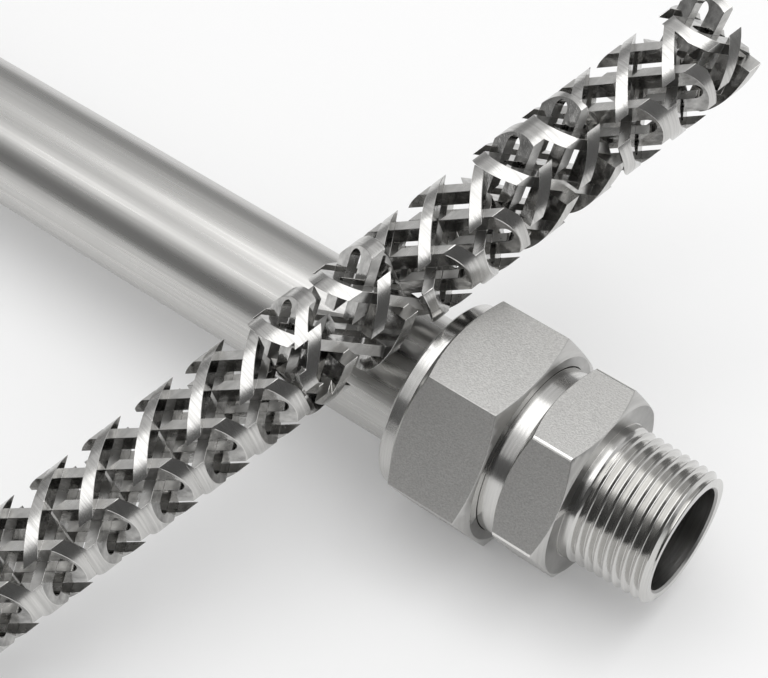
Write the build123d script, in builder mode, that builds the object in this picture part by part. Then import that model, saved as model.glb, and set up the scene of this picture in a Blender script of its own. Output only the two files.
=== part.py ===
# In-line static mixer: a tube with a compression fitting on each end, and the string of
# crossed-plate mixing elements that slides into it, here pulled out and leaning across it.
# Millimetres. X runs along the tube and out of the outlet, Z is up, and the origin is the
# centre of the outlet's end face.
import math
import os

from build123d import *

os.makedirs("parts", exist_ok=True)

# Tube
tube_od = 25.4
tube_wall = 2.413
tube_length = 254.0

# Compression nut, a hexagon with a turned ring on its tube side
nut_flats = 38.1
nut_length = 20.25
nut_ring_length = 2.9
nut_ring_inset = 0.55
nut_hole_length = 5.4
nut_face_inset = 0.45
nut_mouth_depth = 1.2
nut_mouth_gap = 0.15

# Fitting body: pipe thread, neck, hexagon, collar and the barrel inside the nut
body_flats = 34.0
body_bore = 20.2
thread_length = 16.4
neck_length = 0.9
neck_radius = 13.05
hex_length = 10.9
hex_turn = -1.2
collar_length = 3.8
collar_inset = 0.5
collar_reach = 0.5
barrel_length = 10.35
barrel_radius = 15.2
tube_stop = 19.3
seat_length = 5.08
edge_break = 0.4

# Taper pipe thread, one in sixteen on the diameter
thread_pitch = 25.4 / 14
thread_tip_radius = 12.75
thread_depth = 1.15
thread_crest = 0.25
thread_taper = 1 / 32
lead_length = 0.75
lead_drop = 0.55

# Ferrules
front_ferrule_length = 4.8
front_ferrule_reach = 1.05
back_ferrule_length = 2.9
back_ferrule_rim = 1.4

# Mixing string: layers of bars leaning one way between layers leaning the other way
string_radius = 9.77
layer_count = 6
plate_run = 2.9
cell_pitch = 11.0
element_length = 2 * cell_pitch
first_plate = 1.0
first_half = -8.35
upper_half_fall = 0.3
plate_far_reach = 7.3
lower_split = -0.5
upper_split = 0.7
broad_layer = 5
plate_spine_height = 7.72
half_spine_height = 8.45

# Runs measured along the string from where it crosses the tube
straight_count = 5
straight_start = -137.6
straight_end = -26.6
straight_turn = -9.0
string_end = 77.3

# Elements after the straight run: turn, start, then whole and half plates from that start
turned_elements = (
    (-111.0, straight_end, (1.5, 12.5, 25.7), (2.2, 17.2)),
    (-9.0, 0.1, (0.6, 11.5, 22.8), (2.45, 13.4)),
    (-103.0, 22.4, (1.6, 12.6, 23.9), (3.1, 14.1)),
    (-9.0, 44.2, (1.1, 12.1, 23.0), (2.55, 13.5)),
    (-95.0, 66.2, (1.0, 12.0), (2.7,)),
)
closing_turn = -21.0
closing_plate = -13.45

# How the string lies
string_lean = 13.54
string_heading = 74.85
string_crossing = -62.77

# Fits
sliding_gap = 0.05
thread_gap = 0.1
seat_gap = 0.06
resting_gap = 0.05

tube_radius = tube_od / 2
tube_bore_radius = tube_radius - tube_wall
bore_radius = body_bore / 2
nut_half_flats = nut_flats / 2
body_half_flats = body_flats / 2
chamfer_slope = math.tan(math.radians(30))
nut_face_slope = math.tan(math.radians(22))

# Stations along the tube, from the end face inwards
thread_end = -thread_length
hex_outer = thread_end - neck_length
hex_inner = hex_outer - hex_length
nut_face = hex_inner - collar_length
barrel_start = nut_face - collar_reach
nose = nut_face - barrel_length
nut_back = nut_face - nut_length
tube_end = -tube_stop
socket_radius = tube_radius + sliding_gap
seat_end = nose + seat_length
seat_slope = math.tan(math.radians(20))
seat_radius = socket_radius + seat_length * seat_slope
hole_radius = tube_radius + 3 * sliding_gap
nut_thread_radius = barrel_radius + thread_gap
collar_radius = body_half_flats - collar_inset
flare_start = nut_back + nut_hole_length
flare_end = flare_start + nut_thread_radius - hole_radius


def corner_radius(half_flats):
    return half_flats / math.cos(math.radians(30)) + edge_break


def nut_outline():
    ring = nut_half_flats - nut_ring_inset
    ring_end = nut_back + nut_ring_length
    corner = corner_radius(nut_half_flats)
    face = nut_half_flats - nut_face_inset
    mouth = collar_radius + nut_mouth_gap
    return [
        (nut_back, hole_radius),
        (nut_back, ring - edge_break),
        (nut_back + edge_break, ring),
        (ring_end, ring),
        (ring_end + (corner - ring) * chamfer_slope, corner),
        (nut_face - (corner - face) * nut_face_slope, corner),
        (nut_face, face),
        (nut_face, mouth),
        (nut_face - nut_mouth_depth, mouth),
        (nut_face - nut_mouth_depth, nut_thread_radius),
        (flare_end, nut_thread_radius),
        (flare_start, hole_radius),
    ]


def thread_radius(station):
    return thread_tip_radius - station * thread_taper


def thread_section():
    """The thread's own section at its pitch, as rings along the taper."""
    points = []
    half_mouth = (thread_pitch - thread_crest) / 2
    turns = int((thread_length - lead_length) / thread_pitch)
    for turn in range(turns):
        root = -lead_length - (turn + 0.5) * thread_pitch
        points.append((root + half_mouth, thread_radius(root + half_mouth)))
        points.append((root, thread_radius(root) - thread_depth))
        points.append((root - half_mouth, thread_radius(root - half_mouth)))
    return points


def body_outline():
    corner = corner_radius(body_half_flats)
    face = body_half_flats - edge_break / 4
    return [
        (0, bore_radius + edge_break),
        (0, thread_tip_radius - lead_drop),
        (-lead_length, thread_radius(-lead_length)),
        *thread_section(),
        (thread_end, thread_radius(thread_end)),
        (thread_end, neck_radius),
        (hex_outer + edge_break, neck_radius),
        (hex_outer, neck_radius + edge_break),
        (hex_outer, face),
        (hex_outer - (corner - face) * chamfer_slope, corner),
        (hex_inner + (corner - face) * chamfer_slope, corner),
        (hex_inner, face),
        (hex_inner, collar_radius),
        (barrel_start, collar_radius),
        (barrel_start, barrel_radius),
        (nose + edge_break, barrel_radius),
        (nose, barrel_radius - edge_break),
        (nose, seat_radius),
        (seat_end, socket_radius),
        (tube_end, socket_radius),
        (tube_end, bore_radius),
        (-edge_break, bore_radius),
    ]


def front_ferrule_outline():
    inner = tube_radius + sliding_gap / 2
    back = nose - front_ferrule_reach
    front = back + front_ferrule_length
    cone = seat_radius - seat_gap
    return [
        (back, inner),
        (back, cone + front_ferrule_reach * seat_slope),
        (front, cone - (front - nose) * seat_slope),
        (front, inner),
    ]


def back_ferrule_outline():
    inner = tube_radius + sliding_gap / 2
    front = nose - front_ferrule_reach - sliding_gap
    back = front - back_ferrule_length
    rim = front - back_ferrule_rim
    rim_radius = hole_radius + rim - flare_start - 4 * seat_gap
    back_radius = hole_radius + back - flare_start - 4 * seat_gap
    return [
        (front, inner),
        (front, rim_radius),
        (rim, rim_radius),
        (back, back_radius),
        (back, inner),
    ]


# The two ends are alike, one at the origin facing +X and one at the tube's far end
far_face = 2 * tube_end - tube_length
ends = (("outlet", 0.0, 1), ("inlet", far_face, -1))

for end_name, face_x, way in ends:
    section = Plane(origin=(face_x, 0, 0), x_dir=(way, 0, 0), z_dir=(0, -way, 0))
    tube_axis = Axis((face_x, 0, 0), (way, 0, 0))

    # Nut
    with BuildPart() as nut:
        with BuildSketch(section):
            with BuildLine():
                Polyline(nut_outline(), close=True)
            make_face()
        revolve(axis=tube_axis)
        with BuildSketch(Plane(origin=(face_x + way * nut_back, 0, 0), x_dir=(0, 1, 0), z_dir=(way, 0, 0))):
            RegularPolygon(nut_half_flats, 6, major_radius=False)
        extrude(amount=nut_length, mode=Mode.INTERSECT)
    nut.part.label = end_name + "_nut"
    export_step(nut.part, "parts/" + end_name + "_nut.step")

    # Body
    with BuildPart() as body:
        with BuildSketch(section):
            with BuildLine():
                Polyline(body_outline(), close=True)
            make_face()
        revolve(axis=tube_axis)
        with BuildSketch(Plane(origin=(face_x + way * nose, 0, 0), x_dir=(0, 1, 0), z_dir=(way, 0, 0))):
            RegularPolygon(body_half_flats, 6, major_radius=False, rotation=hex_turn * way)
        extrude(amount=-nose, mode=Mode.INTERSECT)
    body.part.label = end_name + "_body"
    export_step(body.part, "parts/" + end_name + "_body.step")

    # Ferrules
    with BuildPart() as front_ferrule:
        with BuildSketch(section):
            with BuildLine():
                Polyline(front_ferrule_outline(), close=True)
            make_face()
        revolve(axis=tube_axis)
    front_ferrule.part.label = end_name + "_front_ferrule"
    export_step(front_ferrule.part, "parts/" + end_name + "_front_ferrule.step")

    with BuildPart() as back_ferrule:
        with BuildSketch(section):
            with BuildLine():
                Polyline(back_ferrule_outline(), close=True)
            make_face()
        revolve(axis=tube_axis)
    back_ferrule.part.label = end_name + "_back_ferrule"
    export_step(back_ferrule.part, "parts/" + end_name + "_back_ferrule.step")

# Tube
with BuildPart() as tube:
    with BuildSketch(Plane(origin=(tube_end - sliding_gap, 0, 0), x_dir=(0, 1, 0), z_dir=(-1, 0, 0))):
        Circle(tube_radius)
        Circle(tube_bore_radius, mode=Mode.SUBTRACT)
    extrude(amount=tube_length - 2 * sliding_gap)
tube.part.label = "tube"
export_step(tube.part, "parts/tube.step")

# Mixing string: it touches the ground at its lower end and the tube where they cross
ground = -nut_half_flats
lean = math.radians(string_lean)
heading = math.radians(string_heading)
along = Vector(
    math.cos(lean) * math.cos(heading), math.cos(lean) * math.sin(heading), math.sin(lean)
)
side = Vector(math.sin(heading), -math.cos(heading), 0)
up = side.cross(along)
crossing_height = (tube_radius + string_radius + resting_gap) * math.hypot(along.Y, along.Z) / along.Y
crossing = Vector(string_crossing, 0, crossing_height)
lower_run = (crossing_height - ground - string_radius * math.cos(lean)) / math.sin(lean)
layer = 2 * string_radius / layer_count


def plate_corners(face, slope, low, high):
    """A plate seen edge on: face is where its downstream side meets the axis."""
    return [
        (face + slope * low - plate_run, low),
        (face + slope * low, low),
        (face + slope * high, high),
        (face + slope * high - plate_run, high),
    ]


def layer_plane(turn, number):
    """The underside of a layer, counted from the string's own top."""
    angle = math.radians(turn)
    normal = up * math.cos(angle) + side * math.sin(angle)
    height = string_radius - number * layer
    return Plane(origin=crossing + normal * height, x_dir=along, z_dir=normal)


def spine_corners(face, slope, height):
    """The strip at the rim that ties a plate's bars together, its inner end cut square."""
    reach = string_radius + edge_break
    middle = face - slope * height - plate_run / 2
    quarter = plate_run / 4
    return [
        (face - slope * reach - plate_run, -reach),
        (face - slope * reach, -reach),
        (middle + quarter, -height - slope * quarter),
        (middle - quarter, -height + slope * quarter),
    ]


def slot_plane(turn, number, face, slope, height):
    """Square to a plate, at the centre of the round end of the slot beside its spine."""
    base = layer_plane(turn, number)
    middle = face - slope * height - plate_run / 2
    centre = base.origin + base.z_dir * layer / 2 + base.x_dir * middle - base.y_dir * height
    return Plane(origin=centre, x_dir=base.z_dir, z_dir=base.x_dir - base.y_dir * slope)


def mixing_element(turn, plates, halves, start, end, closing):
    """Whole plates lean one way, and half plates the other way between them."""
    reach = string_radius + edge_break
    slot_drop = layer / math.sqrt(8)
    plate_slot = plate_spine_height - slot_drop
    half_slot = half_spine_height - slot_drop
    whole = [plate_corners(face, 1, -reach, plate_far_reach) for face in plates]
    lower = [plate_corners(face, -1, -reach, lower_split) for face in halves]
    upper = [plate_corners(face - upper_half_fall, -1, upper_split, reach) for face in plates]
    half_spines = [spine_corners(face, -1, half_slot) for face in halves]
    plate_spines = [spine_corners(face, 1, plate_slot) for face in plates]
    groups = []
    for number in range(1, layer_count + 1):
        outlines = whole if number % 2 == 1 else lower + upper
        if number == broad_layer:
            outlines = whole + upper
        groups.append((turn, number, outlines))
    groups.append((turn, 3, half_spines))
    groups.append((turn, 4, plate_spines))
    with BuildPart() as element:
        for group_turn, number, outlines in groups:
            for outline in outlines:
                with BuildSketch(layer_plane(group_turn, number)):
                    with BuildLine():
                        Polyline(outline, close=True)
                    make_face()
                extrude(amount=layer)
        for face in halves:
            with BuildSketch(slot_plane(turn, 3, face, -1, half_slot)):
                Circle(layer / 2)
            extrude(amount=plate_run / 2, both=True, mode=Mode.SUBTRACT)
        for face in plates:
            with BuildSketch(slot_plane(turn, 4, face, 1, plate_slot)):
                Circle(layer / 2)
            extrude(amount=plate_run / 2, both=True, mode=Mode.SUBTRACT)
        for number, outline in closing:
            with BuildSketch(layer_plane(closing_turn, number)):
                with BuildLine():
                    Polyline(outline, close=True)
                make_face()
            extrude(amount=layer)
        with BuildSketch(Plane(origin=crossing + along * start, x_dir=side, z_dir=along)):
            Circle(string_radius)
        extrude(amount=end - start, mode=Mode.INTERSECT)
    return element


# Straight run: every element carries on the plates of the one before it
elements = []
for index in range(straight_count):
    cell = straight_start + index * element_length
    skipped = 1 if index == 0 else 0
    steps = range(skipped, 3)
    elements.append((
        straight_turn,
        [cell + first_plate + step * cell_pitch for step in steps],
        [cell + first_half + step * cell_pitch for step in steps],
        -lower_run if index == 0 else cell,
        straight_end if index == straight_count - 1 else cell + element_length,
        [],
    ))

# Turned elements, the first of them closed by a half plate that faces the straight run
starts = [row[1] for row in turned_elements] + [string_end]
for index, row in enumerate(turned_elements):
    turn, start, plates, halves = row
    closing = []
    if index == 0:
        outline = plate_corners(closing_plate, 1, -string_radius - edge_break, 0)
        closing = [(number, outline) for number in (1, 3, 5)]
    elements.append((
        turn,
        [start + offset for offset in plates],
        [start + offset for offset in halves],
        start,
        starts[index + 1],
        closing,
    ))

for index, row in enumerate(elements):
    element = mixing_element(*row)
    label = "mixing_element_" + str(index + 1).zfill(2)
    element.part.label = label
    export_step(element.part, "parts/" + label + ".step")
    print(label, "solids", len(element.part.solids()), "volume", round(element.part.volume, 1))

print("lower run", round(lower_run, 2), "crossing height", round(crossing_height, 2))
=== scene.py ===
# %% [markdown]
# # In-line static mixer
#
# This script dresses the packed solids of a static mixer: a steel tube with a compression
# fitting on each end, and the string of crossed-plate elements that slides into it, here
# pulled out and leaning across the tube. The solids come from the frame and stay where they
# are. The script makes the camera and the light first, then copies each solid into a piece
# with broken edges, cuts a real helical thread, and gives every surface its own finish.

# %% Load the frame
import math

import bmesh
import bpy
from mathutils import Matrix, Vector


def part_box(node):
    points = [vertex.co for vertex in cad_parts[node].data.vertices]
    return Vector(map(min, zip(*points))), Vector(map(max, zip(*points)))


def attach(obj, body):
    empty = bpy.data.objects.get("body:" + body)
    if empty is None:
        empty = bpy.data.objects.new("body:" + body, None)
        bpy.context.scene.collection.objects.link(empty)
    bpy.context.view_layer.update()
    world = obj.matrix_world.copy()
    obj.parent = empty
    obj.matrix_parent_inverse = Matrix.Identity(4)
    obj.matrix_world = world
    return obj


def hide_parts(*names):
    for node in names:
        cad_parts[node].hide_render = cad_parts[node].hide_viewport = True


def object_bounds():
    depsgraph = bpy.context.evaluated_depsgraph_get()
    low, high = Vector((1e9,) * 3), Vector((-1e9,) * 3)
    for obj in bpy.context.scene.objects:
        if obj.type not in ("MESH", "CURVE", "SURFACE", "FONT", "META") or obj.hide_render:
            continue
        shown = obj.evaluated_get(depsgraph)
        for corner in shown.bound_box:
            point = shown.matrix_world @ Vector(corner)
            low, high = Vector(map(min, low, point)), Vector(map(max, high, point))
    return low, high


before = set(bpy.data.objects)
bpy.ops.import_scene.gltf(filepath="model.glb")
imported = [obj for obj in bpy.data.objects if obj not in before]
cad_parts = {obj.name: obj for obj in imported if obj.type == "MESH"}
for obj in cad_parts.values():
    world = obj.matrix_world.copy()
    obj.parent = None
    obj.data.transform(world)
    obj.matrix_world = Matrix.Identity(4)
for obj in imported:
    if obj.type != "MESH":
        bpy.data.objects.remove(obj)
solid_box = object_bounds()
scene = bpy.context.scene
mm = 0.001


def rounded(box):
    return [tuple(round(value, 4) for value in corner) for corner in box]


print("nodes", len(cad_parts), "box", rounded(solid_box))

# %% [markdown]
# ## Camera
#
# The photograph looks down on the part from the outlet's side. A camera's place can be found
# by eye, but here it comes from the fitting's known sizes: the corners of a 38.1 mm hexagon
# fix where the camera stands and how long its lens is. A Blender camera looks along its own
# -Z, so tipping it up from straight down by a quarter turn less the pitch, and then turning it
# to its heading, gives the same view. The roll turns the picture about the line of sight.

# %% Camera
image_width = 768
focal_pixels = 2022.35
heading = math.radians(36.294)
pitch = math.radians(49.336)
roll = math.radians(1.648)
camera_place = Vector((0.076463, -0.192778, 0.284302))

camera_data = bpy.data.cameras.new("photo_camera")
camera_data.sensor_width = 36
camera_data.lens = focal_pixels * camera_data.sensor_width / image_width
camera_data.clip_start = 0.01
camera_data.clip_end = 20
camera = bpy.data.objects.new("photo_camera", camera_data)
tipped = Matrix.Rotation(math.pi / 2 - pitch, 4, "X")
facing = Matrix.Rotation(heading, 4, "Z") @ tipped @ Matrix.Rotation(roll, 4, "Z")
camera.matrix_world = Matrix.Translation(camera_place) @ facing
scene.collection.objects.link(camera)
scene.camera = camera
print("lens", round(camera_data.lens, 1), "mm")

# %% [markdown]
# ## Floor
#
# The part lies on a pale sheet of paper. A backdrop that curves up behind would serve as well,
# but the camera looks down steeply and never sees the far edge, so one flat square is enough.
# Its top is the level of the solids' lowest point, and it takes a soft shadow.

# %% Floor
floor_height = solid_box[0].z
floor_reach = 4.0
floor_shade = 0.82
floor_roughness = 0.9
floor_specular = 0.1


def new_object(name, mesh):
    thing = bpy.data.objects.new(name, mesh)
    scene.collection.objects.link(thing)
    return thing


floor_corners = [(-1, -1), (1, -1), (1, 1), (-1, 1)]
floor_points = [(x * floor_reach, y * floor_reach, floor_height) for x, y in floor_corners]
floor_mesh = bpy.data.meshes.new("floor")
floor_mesh.from_pydata(floor_points, [], [(0, 1, 2, 3)])
floor_paper = bpy.data.materials.new("floor_paper")
floor_paper.use_nodes = True
paper_tree = floor_paper.node_tree
paper_shader = paper_tree.nodes["Principled BSDF"]
paper_shader.inputs["Base Color"].default_value = (floor_shade, floor_shade, floor_shade, 1)
paper_shader.inputs["Roughness"].default_value = floor_roughness
paper_shader.inputs["Specular IOR Level"].default_value = floor_specular
floor_mesh.materials.append(floor_paper)
floor = new_object("floor", floor_mesh)
print("floor at", round(floor_height / mm, 2), "mm, reaching", floor_reach, "m each way")

# %% [markdown]
# The paper has to look almost white, and more light would wash out the steel. So it glows a
# little, but only for rays that come from the camera or from a mirror or clear surface. Rays
# that carry soft light see plain paper, so the glow adds no light to the part.

# %% Floor glow
floor_glow = 0.12


def join(tree, output, socket):
    tree.links.new(output, socket)


def math_node(tree, operation):
    node = tree.nodes.new("ShaderNodeMath")
    node.operation = operation
    return node


ray_kind = paper_tree.nodes.new("ShaderNodeLightPath")
seen_or_mirrored = math_node(paper_tree, "MAXIMUM")
seen_at_all = math_node(paper_tree, "MAXIMUM")
glow_share = math_node(paper_tree, "MULTIPLY")
glow_share.inputs[1].default_value = floor_glow
join(paper_tree, ray_kind.outputs["Is Camera Ray"], seen_or_mirrored.inputs[0])
join(paper_tree, ray_kind.outputs["Is Glossy Ray"], seen_or_mirrored.inputs[1])
join(paper_tree, seen_or_mirrored.outputs["Value"], seen_at_all.inputs[0])
join(paper_tree, ray_kind.outputs["Is Transmission Ray"], seen_at_all.inputs[1])
join(paper_tree, seen_at_all.outputs["Value"], glow_share.inputs[0])
join(paper_tree, glow_share.outputs["Value"], paper_shader.inputs["Emission Strength"])
paper_shader.inputs["Emission Color"].default_value = (1, 1, 1, 1)
print("floor glow", floor_glow, "paper nodes", len(paper_tree.nodes))

# %% [markdown]
# ## Dark screens
#
# Polished steel shows what stands around it, and in a bright room it looks like white plastic.
# A photographer sets dark boards just outside the picture, and their reflections are the dark
# bands that make steel look like steel. Here each board is a curved wall, placed by compass
# bearing and by how high it rises. It hides from the camera and from soft light and casts no
# shadow, so only reflections see it.

# %% Dark screens, seen by reflections only
screen_distance = 1.3
screen_step = 5


def screen_paint(name, shade):
    """An even grey that no light changes."""
    paint = bpy.data.materials.new(name)
    paint.use_nodes = True
    tree = paint.node_tree
    tree.nodes.clear()
    glow = tree.nodes.new("ShaderNodeEmission")
    glow.inputs["Color"].default_value = (shade, shade, shade, 1)
    surface = tree.nodes.new("ShaderNodeOutputMaterial")
    join(tree, glow.outputs["Emission"], surface.inputs["Surface"])
    return paint


def dark_screen(name, first, last, low, high, shade):
    """A curved wall between two compass bearings, from one elevation up to another."""
    wall = []
    for bearing in range(first, last + screen_step, screen_step):
        turn = math.radians(bearing)
        east = screen_distance * math.sin(turn)
        north = screen_distance * math.cos(turn)
        for rise in (low, high):
            wall.append((east, north, screen_distance * math.tan(math.radians(rise))))
    panels = [(i, i + 1, i + 3, i + 2) for i in range(0, len(wall) - 2, 2)]
    mesh = bpy.data.meshes.new(name)
    mesh.from_pydata(wall, [], panels)
    mesh.materials.append(screen_paint(name + "_paint", shade))
    screen = new_object(name, mesh)
    screen.visible_camera = False
    screen.visible_diffuse = False
    screen.visible_shadow = False
    print(name, "panels", len(panels))


dark_screen("left_screen", -130, -20, 0, 26, 0.34)
dark_screen("back_screen", -20, 35, 0, 26, 0.26)
dark_screen("right_screen", 75, 150, 0, 64, 0.1)
dark_screen("front_screen", 150, 200, 0, 53, 0.06)
dark_screen("near_screen", 200, 230, 0, 28, 0.16)

# %% [markdown]
# ## Lamps and world
#
# One wide soft lamp hangs overhead and lights the flats that face up. A smaller one to the
# left draws the bright line along the tube. One behind and to the right reaches faces that
# lean towards the outlet, such as chamfers and the thread's flanks. A lamp is set by the
# brightness that a mirror would show, because that is what the eye compares with the
# photograph, and its power follows from its area.

# %% Lamps
lamp_aim = Vector((-0.06, 0, 0))


def soft_lamp(name, compass, elevation, distance, size, radiance):
    """An area lamp aimed at the fitting: compass 0 is +Y, and 90 is +X."""
    bearing = math.radians(compass)
    rise = math.radians(elevation)
    level = math.cos(rise)
    way = Vector((math.sin(bearing) * level, math.cos(bearing) * level, math.sin(rise)))
    data = bpy.data.lights.new(name, "AREA")
    data.shape = "RECTANGLE"
    data.size, data.size_y = size
    data.energy = radiance * math.pi * size[0] * size[1]
    lamp = bpy.data.objects.new(name, data)
    facing_aim = way.to_track_quat("Z", "Y").to_matrix().to_4x4()
    lamp.matrix_world = Matrix.Translation(lamp_aim + way * distance) @ facing_aim
    scene.collection.objects.link(lamp)
    print(name, "watts", round(data.energy, 2))


soft_lamp("overhead_lamp", -30, 86, 1.0, (1.0, 0.95), 1.3)
soft_lamp("left_lamp", -130, 44, 1.0, (0.32, 0.22), 1.35)
soft_lamp("back_lamp", 35, 62, 0.6, (0.26, 0.22), 1.3)

# %% [markdown]
# The rest of the room is an even grey world. It fills the shadows and is what the steel
# mirrors between the lamps and the screens. A picture of a real room would do this too, but
# an even world keeps the bands plain.

# %% World
world_shade = 0.7
world = bpy.data.worlds.new("studio")
world.use_nodes = True
background = world.node_tree.nodes["Background"]
background.inputs["Color"].default_value = (world_shade, world_shade, world_shade, 1)
scene.world = world
scene.view_settings.view_transform = "Standard"
print("world shade", world_shade, "view", scene.view_settings.view_transform)

# %% [markdown]
# ## Steel finishes
#
# All the steel here is one metal, and mostly only its marks differ: lines drawn along the
# tube, rings left by the lathe, a fine grain on the hexagons' flats. The plates inside the
# mixing elements get a darker tone as painted shade, and the broken edges of the fitting a
# lighter one, partly polish and partly painted highlight. Each kind of mark is stretched or
# even noise, so one
# node group makes them all: it takes a vector that its material has already turned and
# stretched, and gives a tone, a roughness and a height. The shader itself stays in each
# material, because its plain values have to sit on its own sockets.

# %% A group for the marks on steel
def new_group(name, inputs, outputs):
    group = bpy.data.node_groups.new(name, "ShaderNodeTree")
    for label, kind, value in inputs:
        socket = group.interface.new_socket(label, in_out="INPUT", socket_type=kind)
        if value is not None:
            socket.default_value = value
    for label, kind in outputs:
        group.interface.new_socket(label, in_out="OUTPUT", socket_type=kind)
    return group, group.nodes.new("NodeGroupInput"), group.nodes.new("NodeGroupOutput")


marks, marks_in, marks_out = new_group(
    "steel_marks",
    [
        ("Vector", "NodeSocketVector", None),
        ("Detail", "NodeSocketFloat", 4.0),
        ("Dark", "NodeSocketColor", (0.5, 0.49, 0.48, 1)),
        ("Light", "NodeSocketColor", (0.66, 0.65, 0.63, 1)),
        ("Smooth", "NodeSocketFloat", 0.15),
        ("Rough", "NodeSocketFloat", 0.3),
        ("Patch Scale", "NodeSocketFloat", 120.0),
    ],
    [
        ("Color", "NodeSocketColor"),
        ("Roughness", "NodeSocketFloat"),
        ("Height", "NodeSocketFloat"),
    ],
)
print("group", marks.name, "sockets", len(marks.interface.items_tree))

# %% [markdown]
# Two noises make the marks. The first follows the stretched vector and gives the lines or the
# grain. The second lies in plain object space and gives large soft patches, as worn or
# unevenly polished steel has. Their blend runs from dark and rough to light and smooth.

# %% Lines and patches
line_roughness = 0.6
patch_detail = 3.0
patch_share = 0.35
line_range = (0.3, 0.7)

lines = marks.nodes.new("ShaderNodeTexNoise")
lines.inputs["Scale"].default_value = 1.0
lines.inputs["Roughness"].default_value = line_roughness
join(marks, marks_in.outputs["Vector"], lines.inputs["Vector"])
join(marks, marks_in.outputs["Detail"], lines.inputs["Detail"])
place = marks.nodes.new("ShaderNodeTexCoord")
patches = marks.nodes.new("ShaderNodeTexNoise")
patches.inputs["Detail"].default_value = patch_detail
join(marks, place.outputs["Object"], patches.inputs["Vector"])
join(marks, marks_in.outputs["Patch Scale"], patches.inputs["Scale"])
spread = marks.nodes.new("ShaderNodeMapRange")
spread.inputs["From Min"].default_value, spread.inputs["From Max"].default_value = line_range
join(marks, lines.outputs["Fac"], spread.inputs["Value"])
blend = marks.nodes.new("ShaderNodeMix")
blend.data_type = "FLOAT"
blend.inputs["Factor"].default_value = patch_share
join(marks, spread.outputs["Result"], blend.inputs["A"])
join(marks, patches.outputs["Fac"], blend.inputs["B"])
print("lines and patches nodes", len(marks.nodes))

# %% [markdown]
# One blend drives both the tone and the roughness, because on real steel a rougher streak is
# also a darker one. The height is the lines alone, so that patches don't make dents.

# %% Tone, roughness and height
tone = marks.nodes.new("ShaderNodeMix")
tone.data_type = "RGBA"
join(marks, blend.outputs["Result"], tone.inputs["Factor"])
join(marks, marks_in.outputs["Dark"], tone.inputs["A"])
join(marks, marks_in.outputs["Light"], tone.inputs["B"])
gloss = marks.nodes.new("ShaderNodeMapRange")
join(marks, blend.outputs["Result"], gloss.inputs["Value"])
join(marks, marks_in.outputs["Rough"], gloss.inputs["To Min"])
join(marks, marks_in.outputs["Smooth"], gloss.inputs["To Max"])
join(marks, tone.outputs["Result"], marks_out.inputs["Color"])
join(marks, gloss.outputs["Result"], marks_out.inputs["Roughness"])
join(marks, lines.outputs["Fac"], marks_out.inputs["Height"])
print("group", marks.name, "nodes", len(marks.nodes))

# %% [markdown]
# A steel material turns and stretches its own coordinates, hands them to the group, and takes
# back a colour, a roughness and a height. Object coordinates keep the marks on the piece, and
# the Mapping of kind Texture turns them the opposite way, so that its X runs along the given
# direction. The tones are grey with a very slight warmth, as stainless steel has.

# %% A steel material with its own marks
warmth = (1.0, 0.99, 0.965)


def steel(name, turn, stretch, tones, gloss_range, detail=4.0, height=0.02, patch=120.0):
    """Marks turned by `turn`, `stretch` of them to a metre on each axis, `height` in mm."""
    material = bpy.data.materials.new(name)
    material.use_nodes = True
    tree = material.node_tree
    shader = tree.nodes["Principled BSDF"]
    shader.inputs["Metallic"].default_value = 1
    where = tree.nodes.new("ShaderNodeTexCoord")
    turned = tree.nodes.new("ShaderNodeMapping")
    turned.vector_type = "TEXTURE"
    turned.inputs["Rotation"].default_value = turn
    spaced = tree.nodes.new("ShaderNodeMapping")
    spaced.inputs["Scale"].default_value = stretch
    group = tree.nodes.new("ShaderNodeGroup")
    group.node_tree = marks
    group.inputs["Detail"].default_value = detail
    for label, tone in zip(("Dark", "Light"), tones):
        group.inputs[label].default_value = (*(tone * share for share in warmth), 1)
    for label, roughness in zip(("Smooth", "Rough"), gloss_range):
        group.inputs[label].default_value = roughness
    group.inputs["Patch Scale"].default_value = patch
    bump = tree.nodes.new("ShaderNodeBump")
    bump.inputs["Strength"].default_value = 1.0
    bump.inputs["Distance"].default_value = height * mm
    join(tree, where.outputs["Object"], turned.inputs["Vector"])
    join(tree, turned.outputs["Vector"], spaced.inputs["Vector"])
    join(tree, spaced.outputs["Vector"], group.inputs["Vector"])
    join(tree, group.outputs["Color"], shader.inputs["Base Color"])
    join(tree, group.outputs["Roughness"], shader.inputs["Roughness"])
    join(tree, group.outputs["Height"], bump.inputs["Height"])
    join(tree, bump.outputs["Normal"], shader.inputs["Normal"])
    print(name, "roughness", gloss_range)
    return material


# %% [markdown]
# The tube is drawn, so its lines run along it. Everything turned on a lathe has rings round
# the axis, which are many marks along X and few across. The flats keep the fine even grain of
# the bar that they were cut from, and it is the roughest finish here.

# %% Fitting and tube finishes
straight = (0, 0, 0)
drawn_steel = steel(
    "drawn_steel", straight, (12, 1600, 1600), (0.5, 0.62), (0.23, 0.36), height=0.002
)
turned_steel = steel(
    "turned_steel", straight, (2600, 60, 60), (0.52, 0.68), (0.13, 0.25), height=0.004
)
chamfer_steel = steel(
    "chamfer_steel", straight, (3200, 90, 90), (0.45, 0.58), (0.25, 0.38), height=0.004
)
thread_steel = steel(
    "thread_steel", straight, (3800, 80, 80), (0.5, 0.7), (0.1, 0.24), height=0.003
)
bore_steel = steel(
    "bore_steel", straight, (1800, 90, 90), (0.22, 0.5), (0.26, 0.42), height=0.03
)
grained_steel = steel(
    "grained_steel", straight, (2900, 3500, 3500), (0.42, 0.66), (0.42, 0.56),
    detail=2.5, height=0.05, patch=40.0,
)
# The broken edges' lighter tone is partly polish and partly a painted highlight along them.
edge_steel_painted_highlight = steel(
    "edge_steel_painted_highlight", straight, (900, 900, 900), (0.72, 0.8), (0.16, 0.26), height=0.001
)

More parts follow.
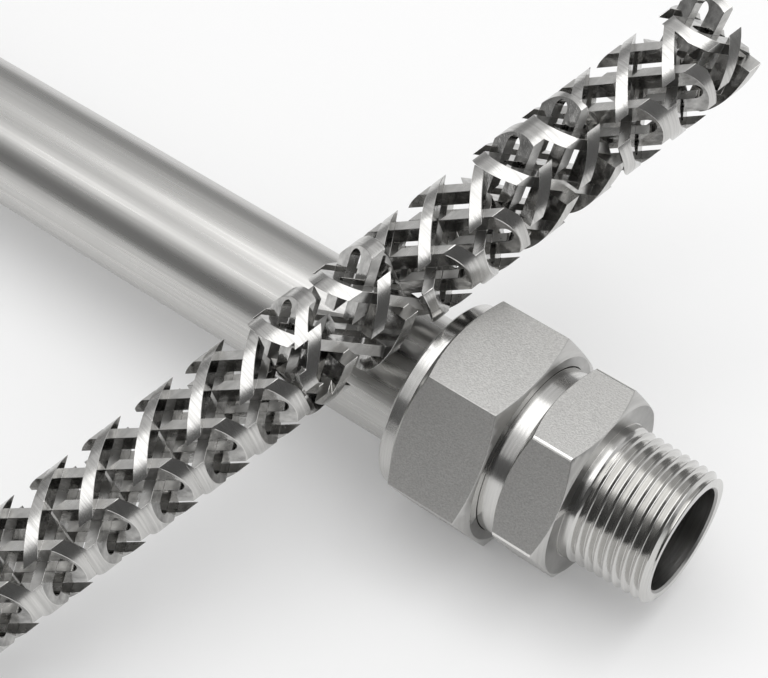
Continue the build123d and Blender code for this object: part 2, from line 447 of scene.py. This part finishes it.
# %% [markdown]
# ## Pieces from the solids
#
# A machined edge is never knife-sharp, and the thin line that a broken edge shows is most of
# what tells the eye that steel is thick. The packed solids have sharp edges and loose
# triangles. So each visible solid is copied, its triangles are merged into whole faces, every
# face is sorted into a finish by where it lies and which way it points, and a Bevel modifier
# breaks the edges. The copy then stands for its solid, which stays hidden in its place.

# %% Copy a solid as whole faces
merge_distance = 0.0005 * mm
flat_angle = math.radians(0.3)


def merged_form(node_name):
    """A solid's copy as whole faces."""
    form = bmesh.new()
    form.from_mesh(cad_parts[node_name].data)
    triangles = len(form.faces)
    bmesh.ops.remove_doubles(form, verts=form.verts, dist=merge_distance)
    bmesh.ops.dissolve_limit(form, angle_limit=flat_angle, verts=form.verts, edges=form.edges)
    print(node_name, "triangles", triangles, "whole faces", len(form.faces))
    return form


# %% [markdown]
# The Bevel modifier goes no wider than the shortest edge that it meets allows, so very short
# edges go first. Round faces shade smoothly, but where two finishes meet the border stays
# sharp: otherwise smoothing would tilt the light on the flats beside it.

# %% Break the edges and shade
shortest_edge = 0.12 * mm
sharp_angle = math.radians(32)


def broken_edges(draft, width, slot, segments):
    """The draft's mesh with its sharp edges bevelled, made by a modifier and then kept."""
    bevel = draft.modifiers.new("broken_edges", "BEVEL")
    bevel.width = width
    bevel.segments = segments
    bevel.limit_method = "ANGLE"
    bevel.angle_limit = sharp_angle
    bevel.material = slot
    graph = bpy.context.evaluated_depsgraph_get()
    return bpy.data.meshes.new_from_object(draft.evaluated_get(graph))


def sharpen_finish_borders(mesh):
    form = bmesh.new()
    form.from_mesh(mesh)
    for edge in form.edges:
        if len({face.material_index for face in edge.link_faces}) > 1:
            edge.smooth = False
    form.to_mesh(mesh)
    form.free()


def finished_mesh(name, form, materials, break_width, break_slot, segments=2):
    """The form as a mesh with its edges broken and its round faces shaded smooth."""
    bmesh.ops.dissolve_degenerate(form, edges=form.edges, dist=shortest_edge)
    mesh = bpy.data.meshes.new(name)
    form.to_mesh(mesh)
    form.free()
    for material in materials:
        mesh.materials.append(material)
    mesh.shade_smooth()
    draft = new_object(name + "_draft", mesh)
    result = broken_edges(draft, break_width, break_slot, segments)
    result.name = name
    bpy.data.objects.remove(draft)
    result.shade_smooth()
    result.set_sharp_from_angle(angle=sharp_angle)
    sharpen_finish_borders(result)
    return result


def place_piece(name, mesh, slot_name, *nodes):
    piece = new_object(name, mesh)
    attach(piece, "root")
    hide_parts(*nodes)
    print(name, "faces", len(mesh.polygons))
    return piece


print("edges sharper than", round(math.degrees(sharp_angle)), "degrees are broken")

# %% [markdown]
# ## The two ends
#
# Both ends are the same fitting, the inlet's turned half a turn about the upright axis. A
# face's finish could be painted by hand, but where it lies and which way it points say what
# it is: the flats stand off the axis by half the hexagon's width, a chamfer is a cone near
# the hexagon's rim, and what lies near the axis is the inside.

# %% Sort a fitting's faces
far_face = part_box("inlet_body")[0].x
ends = {"outlet": (0.0, 1), "inlet": (far_face, -1)}
nut_half_flats = 19.05 * mm
body_half_flats = 17.0 * mm
flat_reach = 0.06 * mm
cone_depth = 1.2 * mm

# How far a normal points along the tube: hardly for a flat, more for a cone, fully for a face
flat_tilt = 0.01
cone_lean = 0.3
cone_limit = 0.98
TURNED, GRAINED, CHAMFER, INSIDE, FACET = range(5)
fitting_finishes = [turned_steel, grained_steel, chamfer_steel, bore_steel, edge_steel_painted_highlight]


def sort_fitting_faces(form, half_flats, inner_limit):
    """Give each face the slot of its finish."""
    for face in form.faces:
        centre = face.calc_center_median()
        across = Vector((0, centre.y, centre.z))
        endward = abs(face.normal.x)
        reach = face.normal.dot(across)
        if endward < flat_tilt and abs(reach - half_flats) < flat_reach:
            face.material_index = GRAINED
        elif across.length < inner_limit:
            face.material_index = INSIDE
        elif cone_lean < endward < cone_limit and across.length > half_flats - cone_depth:
            face.material_index = CHAMFER
        else:
            face.material_index = TURNED


print("ends", {end: round(face_x / mm, 2) for end, (face_x, way) in ends.items()})

# %% [markdown]
# The long edges of a hexagon are knocked back a little and catch the light as a thin line.
# They need a set width, and short edges beside them hold a Bevel modifier back. So planes cut
# them: two on each corner, each leaning off its flat by a quarter of the sixty degrees
# between the flats.

# %% Break a hexagon's corners
corner_lean = math.radians(15)
half_corner = math.radians(30)
cut_tolerance = 1e-8


def cut_by_plane(form, point, normal):
    """Clear everything outside the plane, and return the edges round the hole."""
    everything = form.verts[:] + form.edges[:] + form.faces[:]
    bmesh.ops.bisect_plane(
        form, geom=everything, dist=cut_tolerance,
        plane_co=point, plane_no=normal, clear_outer=True,
    )
    return [edge for edge in form.edges if edge.is_boundary]


def break_corners(form, half_flats, reach):
    """Two narrow facets along each corner of the hexagon, `reach` back from the corner."""
    flats = [face.normal.copy() for face in form.faces if face.material_index == GRAINED]
    half_side = half_flats * math.tan(half_corner)
    lateral = (half_side - reach) * math.sin(corner_lean)
    depth = half_flats * math.cos(corner_lean) + lateral
    for normal in flats:
        for lean in (corner_lean, -corner_lean):
            facing_out = Matrix.Rotation(lean, 3, "X") @ normal
            rim = cut_by_plane(form, facing_out * depth, facing_out)
            for facet in bmesh.ops.holes_fill(form, edges=rim, sides=0)["faces"]:
                facet.material_index = FACET
    bmesh.ops.recalc_face_normals(form, faces=form.faces)
    areas = [face.calc_area() for face in form.faces if face.material_index == FACET]
    print("corner facets", len(areas), "of", round(sum(areas) / mm / mm, 1), "mm2")


# %% [markdown]
# ## Nuts
#
# The nut is the widest hexagon. Its flats are grained, its chamfers and the ring on the tube
# side are turned, and its corners are broken by a hair.

# %% Nuts
nut_inner_limit = 15.5 * mm
nut_break = 0.08 * mm
nut_corner = 0.13 * mm
for end in ends:
    name = "finished_" + end + "_nut"
    form = merged_form(end + "_nut")
    sort_fitting_faces(form, nut_half_flats, nut_inner_limit)
    break_corners(form, nut_half_flats, nut_corner)
    nut_mesh = finished_mesh(name, form, fitting_finishes, nut_break, CHAMFER)
    place_piece(name, nut_mesh, "nut_steel", end + "_nut")

# %% [markdown]
# ## The pipe thread
#
# A pipe thread is one V-shaped groove that winds along a cone. The solid shows it as rings,
# and a modelled helix could be swept along a curve, but the cone would leave gaps between the
# turns. Here Geometry Nodes bend one flat grid instead: its columns go round the pipe, its
# rows follow the bore, the end face and then the winding thread, and the last row meets the
# first, so the sleeve is closed. Rows lean by one pitch a turn, so that crests stay sharp.
#
# Long formulas are hard to read as nodes, so a small class lets ordinary arithmetic add them.

# %% A small language for the fields
class Field:
    """A number in a node tree, which ordinary arithmetic extends by Math nodes."""

    def __init__(self, tree, socket):
        self.tree = tree
        self.socket = socket

    def through(self, operation, *others):
        node = math_node(self.tree, operation)
        for slot, value in zip(node.inputs, (self, *others)):
            if isinstance(value, Field):
                join(self.tree, value.socket, slot)
            else:
                slot.default_value = value
        return Field(self.tree, node.outputs[0])

    def __add__(self, other):
        return self.through("ADD", other)

    def __sub__(self, other):
        return self.through("SUBTRACT", other)

    def __mul__(self, other):
        return self.through("MULTIPLY", other)

    def __truediv__(self, other):
        return self.through("DIVIDE", other)


def choose(condition, yes, no):
    """Yes where the condition is 1, no where it is 0."""
    return no + (yes - no) * condition


print("Field:", Field.__doc__)

# %% [markdown]
# The tree's inputs are the thread's own sizes, so another size of pipe needs only other
# numbers. The sleeve reaches a little further back than the thread, over the neck.

# %% The thread's sizes
thread_values = {
    "Pitch": 1.814 * mm,
    "Length": 17.3 * mm,
    "Tip Radius": 12.75 * mm,
    "Taper": 1 / 32,
    "Depth": 1.12 * mm,
    "Neck": 1.6 * mm,
    "Run Out": 1.2 * mm,
    "Lead Length": 0.75 * mm,
    "Lead Drop": 0.55 * mm,
    "Bore Radius": 10.1 * mm,
    "Edge Break": 0.4 * mm,
}
thread_tree = bpy.data.node_groups.new("pipe_thread", "GeometryNodeTree")
sockets = thread_tree.interface
sockets.new_socket("Geometry", in_out="INPUT", socket_type="NodeSocketGeometry")
for label, value in thread_values.items():
    socket = sockets.new_socket(label, in_out="INPUT", socket_type="NodeSocketFloat")
    socket.default_value = value
sockets.new_socket("Geometry", in_out="OUTPUT", socket_type="NodeSocketGeometry")
entry = thread_tree.nodes.new("NodeGroupInput")
size = {label: Field(thread_tree, entry.outputs[label]) for label in thread_values}
print("thread inputs", len(size))

# %% [markdown]
# A grid's points are numbered along its columns first, so a point's number gives both its row
# and its column. The column becomes an angle round the pipe. There is one column more than
# the circle needs, and the last falls on the first and is merged with it.

# %% A flat grid, told apart by row and column
columns = 144
pitches = 12
rows_per_half = 4
front_rows = 4
rows = front_rows + 2 * rows_per_half * pitches + 1

# Added before rounding down, so that a whole number isn't taken for the one below it
nudge = 0.0001

grid = thread_tree.nodes.new("GeometryNodeMeshGrid")
grid.inputs["Vertices X"].default_value = rows
grid.inputs["Vertices Y"].default_value = columns + 1
index = Field(thread_tree, thread_tree.nodes.new("GeometryNodeInputIndex").outputs[0])
row = (index / (columns + 1) + nudge).through("FLOOR")
column = index - row * (columns + 1)
angle = column * (2 * math.pi / columns)
print("grid", rows, "rows of", columns + 1, "points")

# %% [markdown]
# After the first rows, each half pitch takes four rows: the crest's edge, the top of the
# flank, its foot and the root's edge. The next half climbs back to a crest in the same way.
# A row also moves by one pitch as it goes round the pipe, which makes the groove a helix, and
# it stops at the sleeve's two ends.

# %% Where each row lies along the pipe
crest_half = 0.03
corner_width = 0.04
flank_share = 0.5 - 2 * crest_half - 2 * corner_width

step = row - (front_rows - 1.0)
place_in_half = step.through("MODULO", float(rows_per_half))
past_crest = place_in_half.through("GREATER_THAN", 0.5) * corner_width
past_flank = place_in_half.through("GREATER_THAN", 1.5) * flank_share
past_root = place_in_half.through("GREATER_THAN", 2.5) * corner_width
across = past_crest + past_root + past_flank + crest_half
half_pitches = (step / float(rows_per_half) + nudge).through("FLOOR") * 0.5
winding = (half_pitches + across) * -1.0 + column / columns + 1.0
back_end = size["Length"] * -1.0
station = (winding * size["Pitch"]).through("MINIMUM", 0.0).through("MAXIMUM", back_end)
print("nodes so far", len(thread_tree.nodes))

# %% [markdown]
# Where a point lies within its pitch says how high the thread stands there: full on the
# crest, none in the root, straight on the flanks between. The groove fades out before the
# neck, as it does where a die leaves the pipe, and the tip has a short steep lead.

# %% How far out each point lies
# The height drops by this much a pitch, from this value at the crest's middle, cut to 0 to 1
flank_slope = 2.39
flank_top = 1.0975

phase = (station / size["Pitch"] - column / columns).through("FRACT")
off_crest = ((phase + 0.5).through("FRACT") - 0.5).through("ABSOLUTE")
height = (off_crest * -flank_slope + flank_top).through("MINIMUM", 1.0).through("MAXIMUM", 0.0)
fade = (station + size["Length"] - size["Neck"]) / size["Run Out"]
fade = fade.through("MAXIMUM", 0.0).through("MINIMUM", 1.0)
crest = size["Tip Radius"] - station * size["Taper"]
groove = crest - (height * -1.0 + 1.0) * fade * size["Depth"]
lead_slope = station * size["Lead Drop"] / size["Lead Length"]
lead = size["Tip Radius"] - size["Lead Drop"] - lead_slope
thread_radius = groove.through("MINIMUM", lead)
print("nodes so far", len(thread_tree.nodes))

# %% [markdown]
# Four rows stand still: the bore at the back, the bore at the front, its broken edge at the
# end face, and the last row, which lies on the first and closes the sleeve.

# %% Rows of the bore and the end face
row_tolerance = 0.25


def row_is(number):
    return row.through("COMPARE", float(number), row_tolerance)


bore = size["Bore Radius"]
broken = size["Edge Break"]
radius = choose(row_is(0), bore, thread_radius)
radius = choose(row_is(1), bore, radius)
radius = choose(row_is(2), bore + broken, radius)
radius = choose(row_is(rows - 1), bore, radius)
station = choose(row_is(0), back_end, station)
station = choose(row_is(1), broken * -1.0, station)
station = station - station * row_is(2)
station = choose(row_is(rows - 1), back_end, station)
print("nodes so far", len(thread_tree.nodes))

# %% [markdown]
# Now the flat grid is bent round the pipe and its seams are merged. Where a point lies is
# enough to sort the finishes: the whole sleeve starts as thread, then what lies at the end
# face is turned, and last what lies close to the bore is bore.

# %% Bend the grid and give it finishes
weld_distance = 0.004 * mm
face_depth = 0.01 * mm
bore_margin = 0.3 * mm

point = thread_tree.nodes.new("ShaderNodeCombineXYZ")
join(thread_tree, station.socket, point.inputs["X"])
join(thread_tree, (angle.through("COSINE") * radius).socket, point.inputs["Y"])
join(thread_tree, (angle.through("SINE") * radius).socket, point.inputs["Z"])
bend_grid = thread_tree.nodes.new("GeometryNodeSetPosition")
join(thread_tree, grid.outputs["Mesh"], bend_grid.inputs["Geometry"])
join(thread_tree, point.outputs["Vector"], bend_grid.inputs["Position"])
weld = thread_tree.nodes.new("GeometryNodeMergeByDistance")
weld.inputs["Distance"].default_value = weld_distance
join(thread_tree, bend_grid.outputs["Geometry"], weld.inputs["Geometry"])
realize = thread_tree.nodes.new("GeometryNodeRealizeInstances")
join(thread_tree, weld.outputs["Geometry"], realize.inputs["Geometry"])

position = thread_tree.nodes.new("GeometryNodeInputPosition")
parts = thread_tree.nodes.new("ShaderNodeSeparateXYZ")
join(thread_tree, position.outputs[0], parts.inputs["Vector"])
along, sideways, upwards = (Field(thread_tree, parts.outputs[axis]) for axis in "XYZ")
off_axis = (sideways * sideways + upwards * upwards).through("SQRT")
on_face = along.through("GREATER_THAN", -face_depth)
in_bore = off_axis.through("LESS_THAN", size["Bore Radius"] + bore_margin)
shape = realize.outputs["Geometry"]
for material, chosen in ((thread_steel, None), (turned_steel, on_face), (bore_steel, in_bore)):
    setter = thread_tree.nodes.new("GeometryNodeSetMaterial")
    setter.inputs["Material"].default_value = material
    join(thread_tree, shape, setter.inputs["Geometry"])
    if chosen is not None:
        join(thread_tree, chosen.socket, setter.inputs["Selection"])
    shape = setter.outputs["Geometry"]
join(thread_tree, shape, thread_tree.nodes.new("NodeGroupOutput").inputs["Geometry"])
print("thread tree nodes", len(thread_tree.nodes))

# %% [markdown]
# A tree needs an object to run on. An empty one carries it for a moment, its result becomes a
# plain mesh, and the object goes. One sleeve is enough, and the inlet's is a turned copy.

# %% Make the sleeve once
thread_sharp_angle = math.radians(38)


def run_tree(tree, values, name):
    """The tree's result, for these values, as a plain mesh."""
    seed = new_object(name + "_seed", bpy.data.meshes.new(name + "_seed"))
    modifier = seed.modifiers.new(name, "NODES")
    modifier.node_group = tree
    for item in tree.interface.items_tree:
        if item.in_out == "INPUT" and item.name in values:
            modifier[item.identifier] = values[item.name]
    graph = bpy.context.evaluated_depsgraph_get()
    result = bpy.data.meshes.new_from_object(seed.evaluated_get(graph))
    bpy.data.objects.remove(seed)
    empty = [slot for slot, material in enumerate(result.materials) if material is None]
    for slot in reversed(empty):
        result.materials.pop(index=slot)
    print(name, "finishes", [material.name for material in result.materials])
    return result


sleeve = run_tree(thread_tree, thread_values, "pipe_thread")
form = bmesh.new()
form.from_mesh(sleeve)
bmesh.ops.dissolve_degenerate(form, edges=form.edges, dist=merge_distance)
bmesh.ops.recalc_face_normals(form, faces=form.faces)
open_edges = sum(1 for edge in form.edges if len(edge.link_faces) != 2)
form.to_mesh(sleeve)
form.free()
sleeve.shade_smooth()
sleeve.set_sharp_from_angle(angle=thread_sharp_angle)
print("sleeve faces", len(sleeve.polygons), "open edges", open_edges)

# %% [markdown]
# ## Fitting bodies
#
# The solid carries the collar and the hexagon. Its neck and ringed thread are cut off close
# to the hexagon, just where the sleeve begins. The sleeve is then joined to the body, because
# the real fitting is one turned piece.

# %% Bodies: the solid up to its neck, and the sleeve beyond it
bore_limit = 10.6 * mm
body_break = 0.08 * mm
body_corner = 0.42 * mm
neck_cut = -17.28 * mm


def join_sleeve(body, end, face_x, way):
    """Put a copy of the sleeve on this end's face and make it part of the body."""
    thread_mesh = sleeve.copy()
    if way < 0:
        half_turn = Matrix.Rotation(math.pi, 4, "Z")
        thread_mesh.transform(Matrix.Translation((face_x, 0, 0)) @ half_turn)
    pair = [body, new_object(end + "_thread_draft", thread_mesh)]
    with bpy.context.temp_override(
        active_object=body, object=body, selected_editable_objects=pair, selected_objects=pair
    ):
        bpy.ops.object.join()
    print(body.name, "with its thread, faces", len(body.data.polygons))


for end, (face_x, way) in ends.items():
    name = "finished_" + end + "_body"
    form = merged_form(end + "_body")
    rim = cut_by_plane(form, (face_x + way * neck_cut, 0, 0), (way, 0, 0))
    bmesh.ops.bridge_loops(form, edges=rim)
    bmesh.ops.recalc_face_normals(form, faces=form.faces)
    sort_fitting_faces(form, body_half_flats, bore_limit)
    break_corners(form, body_half_flats, body_corner)
    body_mesh = finished_mesh(name, form, fitting_finishes, body_break, CHAMFER)
    body = place_piece(name, body_mesh, "fitting_steel", end + "_body")
    join_sleeve(body, end, face_x, way)

# %% [markdown]
# ## The mixing string
#
# Each element is a lattice of bars cut from plates that lean to either side. Its bars have
# three kinds of face: the rim, turned to fit the tube and streaked across the string; the
# sides of the layers, satin; and the plates' own faces, smooth, with a dark tone painted on
# them as the shade that falls inside the lattice. The marks follow the string, so their axes
# are turned to lie along it.

# %% String finishes
string_lean = math.radians(13.54)
string_heading = math.radians(74.85)
string_turn = (0, -string_lean, string_heading)
rim_steel = steel(
    "rim_steel", string_turn, (2000, 60, 60), (0.4, 0.7), (0.16, 0.3), height=0.009
)
side_steel = steel(
    "side_steel", string_turn, (400, 700, 700), (0.38, 0.64), (0.22, 0.38), height=0.014
)
# The plates' dark tone is painted shade for the inside of the lattice, not a darker steel.
plate_steel_painted_shade = steel(
    "plate_steel_painted_shade", string_turn, (260, 480, 480), (0.15, 0.66), (0.06, 0.18), height=0.06
)
burr_steel = steel(
    "burr_steel", string_turn, (900, 900, 900), (0.6, 0.76), (0.15, 0.3), height=0.001
)

# %% [markdown]
# A face whose normal stands square to the string is a rim or a layer's side, and a rim's
# corners all lie at the string's own radius. Every other face belongs to a leaning plate.

# %% Sort a mixing element's faces
string_radius = 9.77 * mm
string_centre = Vector((-62.77, 0, 23.21)) * mm
string_way = Vector((
    math.cos(string_lean) * math.cos(string_heading),
    math.cos(string_lean) * math.sin(string_heading),
    math.sin(string_lean),
))
rim_reach = 0.03 * mm
square_limit = 0.05
PLATE, SIDE, RIM, BURR = range(4)
string_finishes = [plate_steel_painted_shade, side_steel, rim_steel, burr_steel]


def sort_string_faces(form):
    """Give each face the slot of its finish."""
    for face in form.faces:
        offsets = [vertex.co - string_centre for vertex in face.verts]
        reaches = [(offset - string_way * offset.dot(string_way)).length for offset in offsets]
        lean = abs(face.normal.dot(string_way))
        if lean < square_limit and min(reaches) > string_radius - rim_reach:
            face.material_index = RIM
        elif lean < square_limit:
            face.material_index = SIDE
        else:
            face.material_index = PLATE


print("string runs along", [round(part, 3) for part in string_way])

# %% [markdown]
# The bars are small and there are hundreds, so each edge gets one narrow flat and no rounding.

# %% Mixing elements
element_break = 0.09 * mm
element_nodes = sorted(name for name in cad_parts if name.startswith("mixing_element"))
for node_name in element_nodes:
    name = "finished_" + node_name
    form = merged_form(node_name)
    sort_string_faces(form)
    mesh = finished_mesh(name, form, string_finishes, element_break, BURR, segments=1)
    place_piece(name, mesh, "mixing_steel", node_name)

# %% [markdown]
# ## Tube and ferrules
#
# The tube's solid already has the right shape, and so have the ferrules, which the nuts hide.
# They keep their solids and only get a finish.

# %% Tube and ferrules
plain_nodes = {"tube": drawn_steel}
plain_nodes.update({name: turned_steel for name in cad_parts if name.endswith("ferrule")})
for node_name, finish in plain_nodes.items():
    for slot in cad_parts[node_name].material_slots:
        slot.material = finish
    print(node_name, "finish", finish.name)
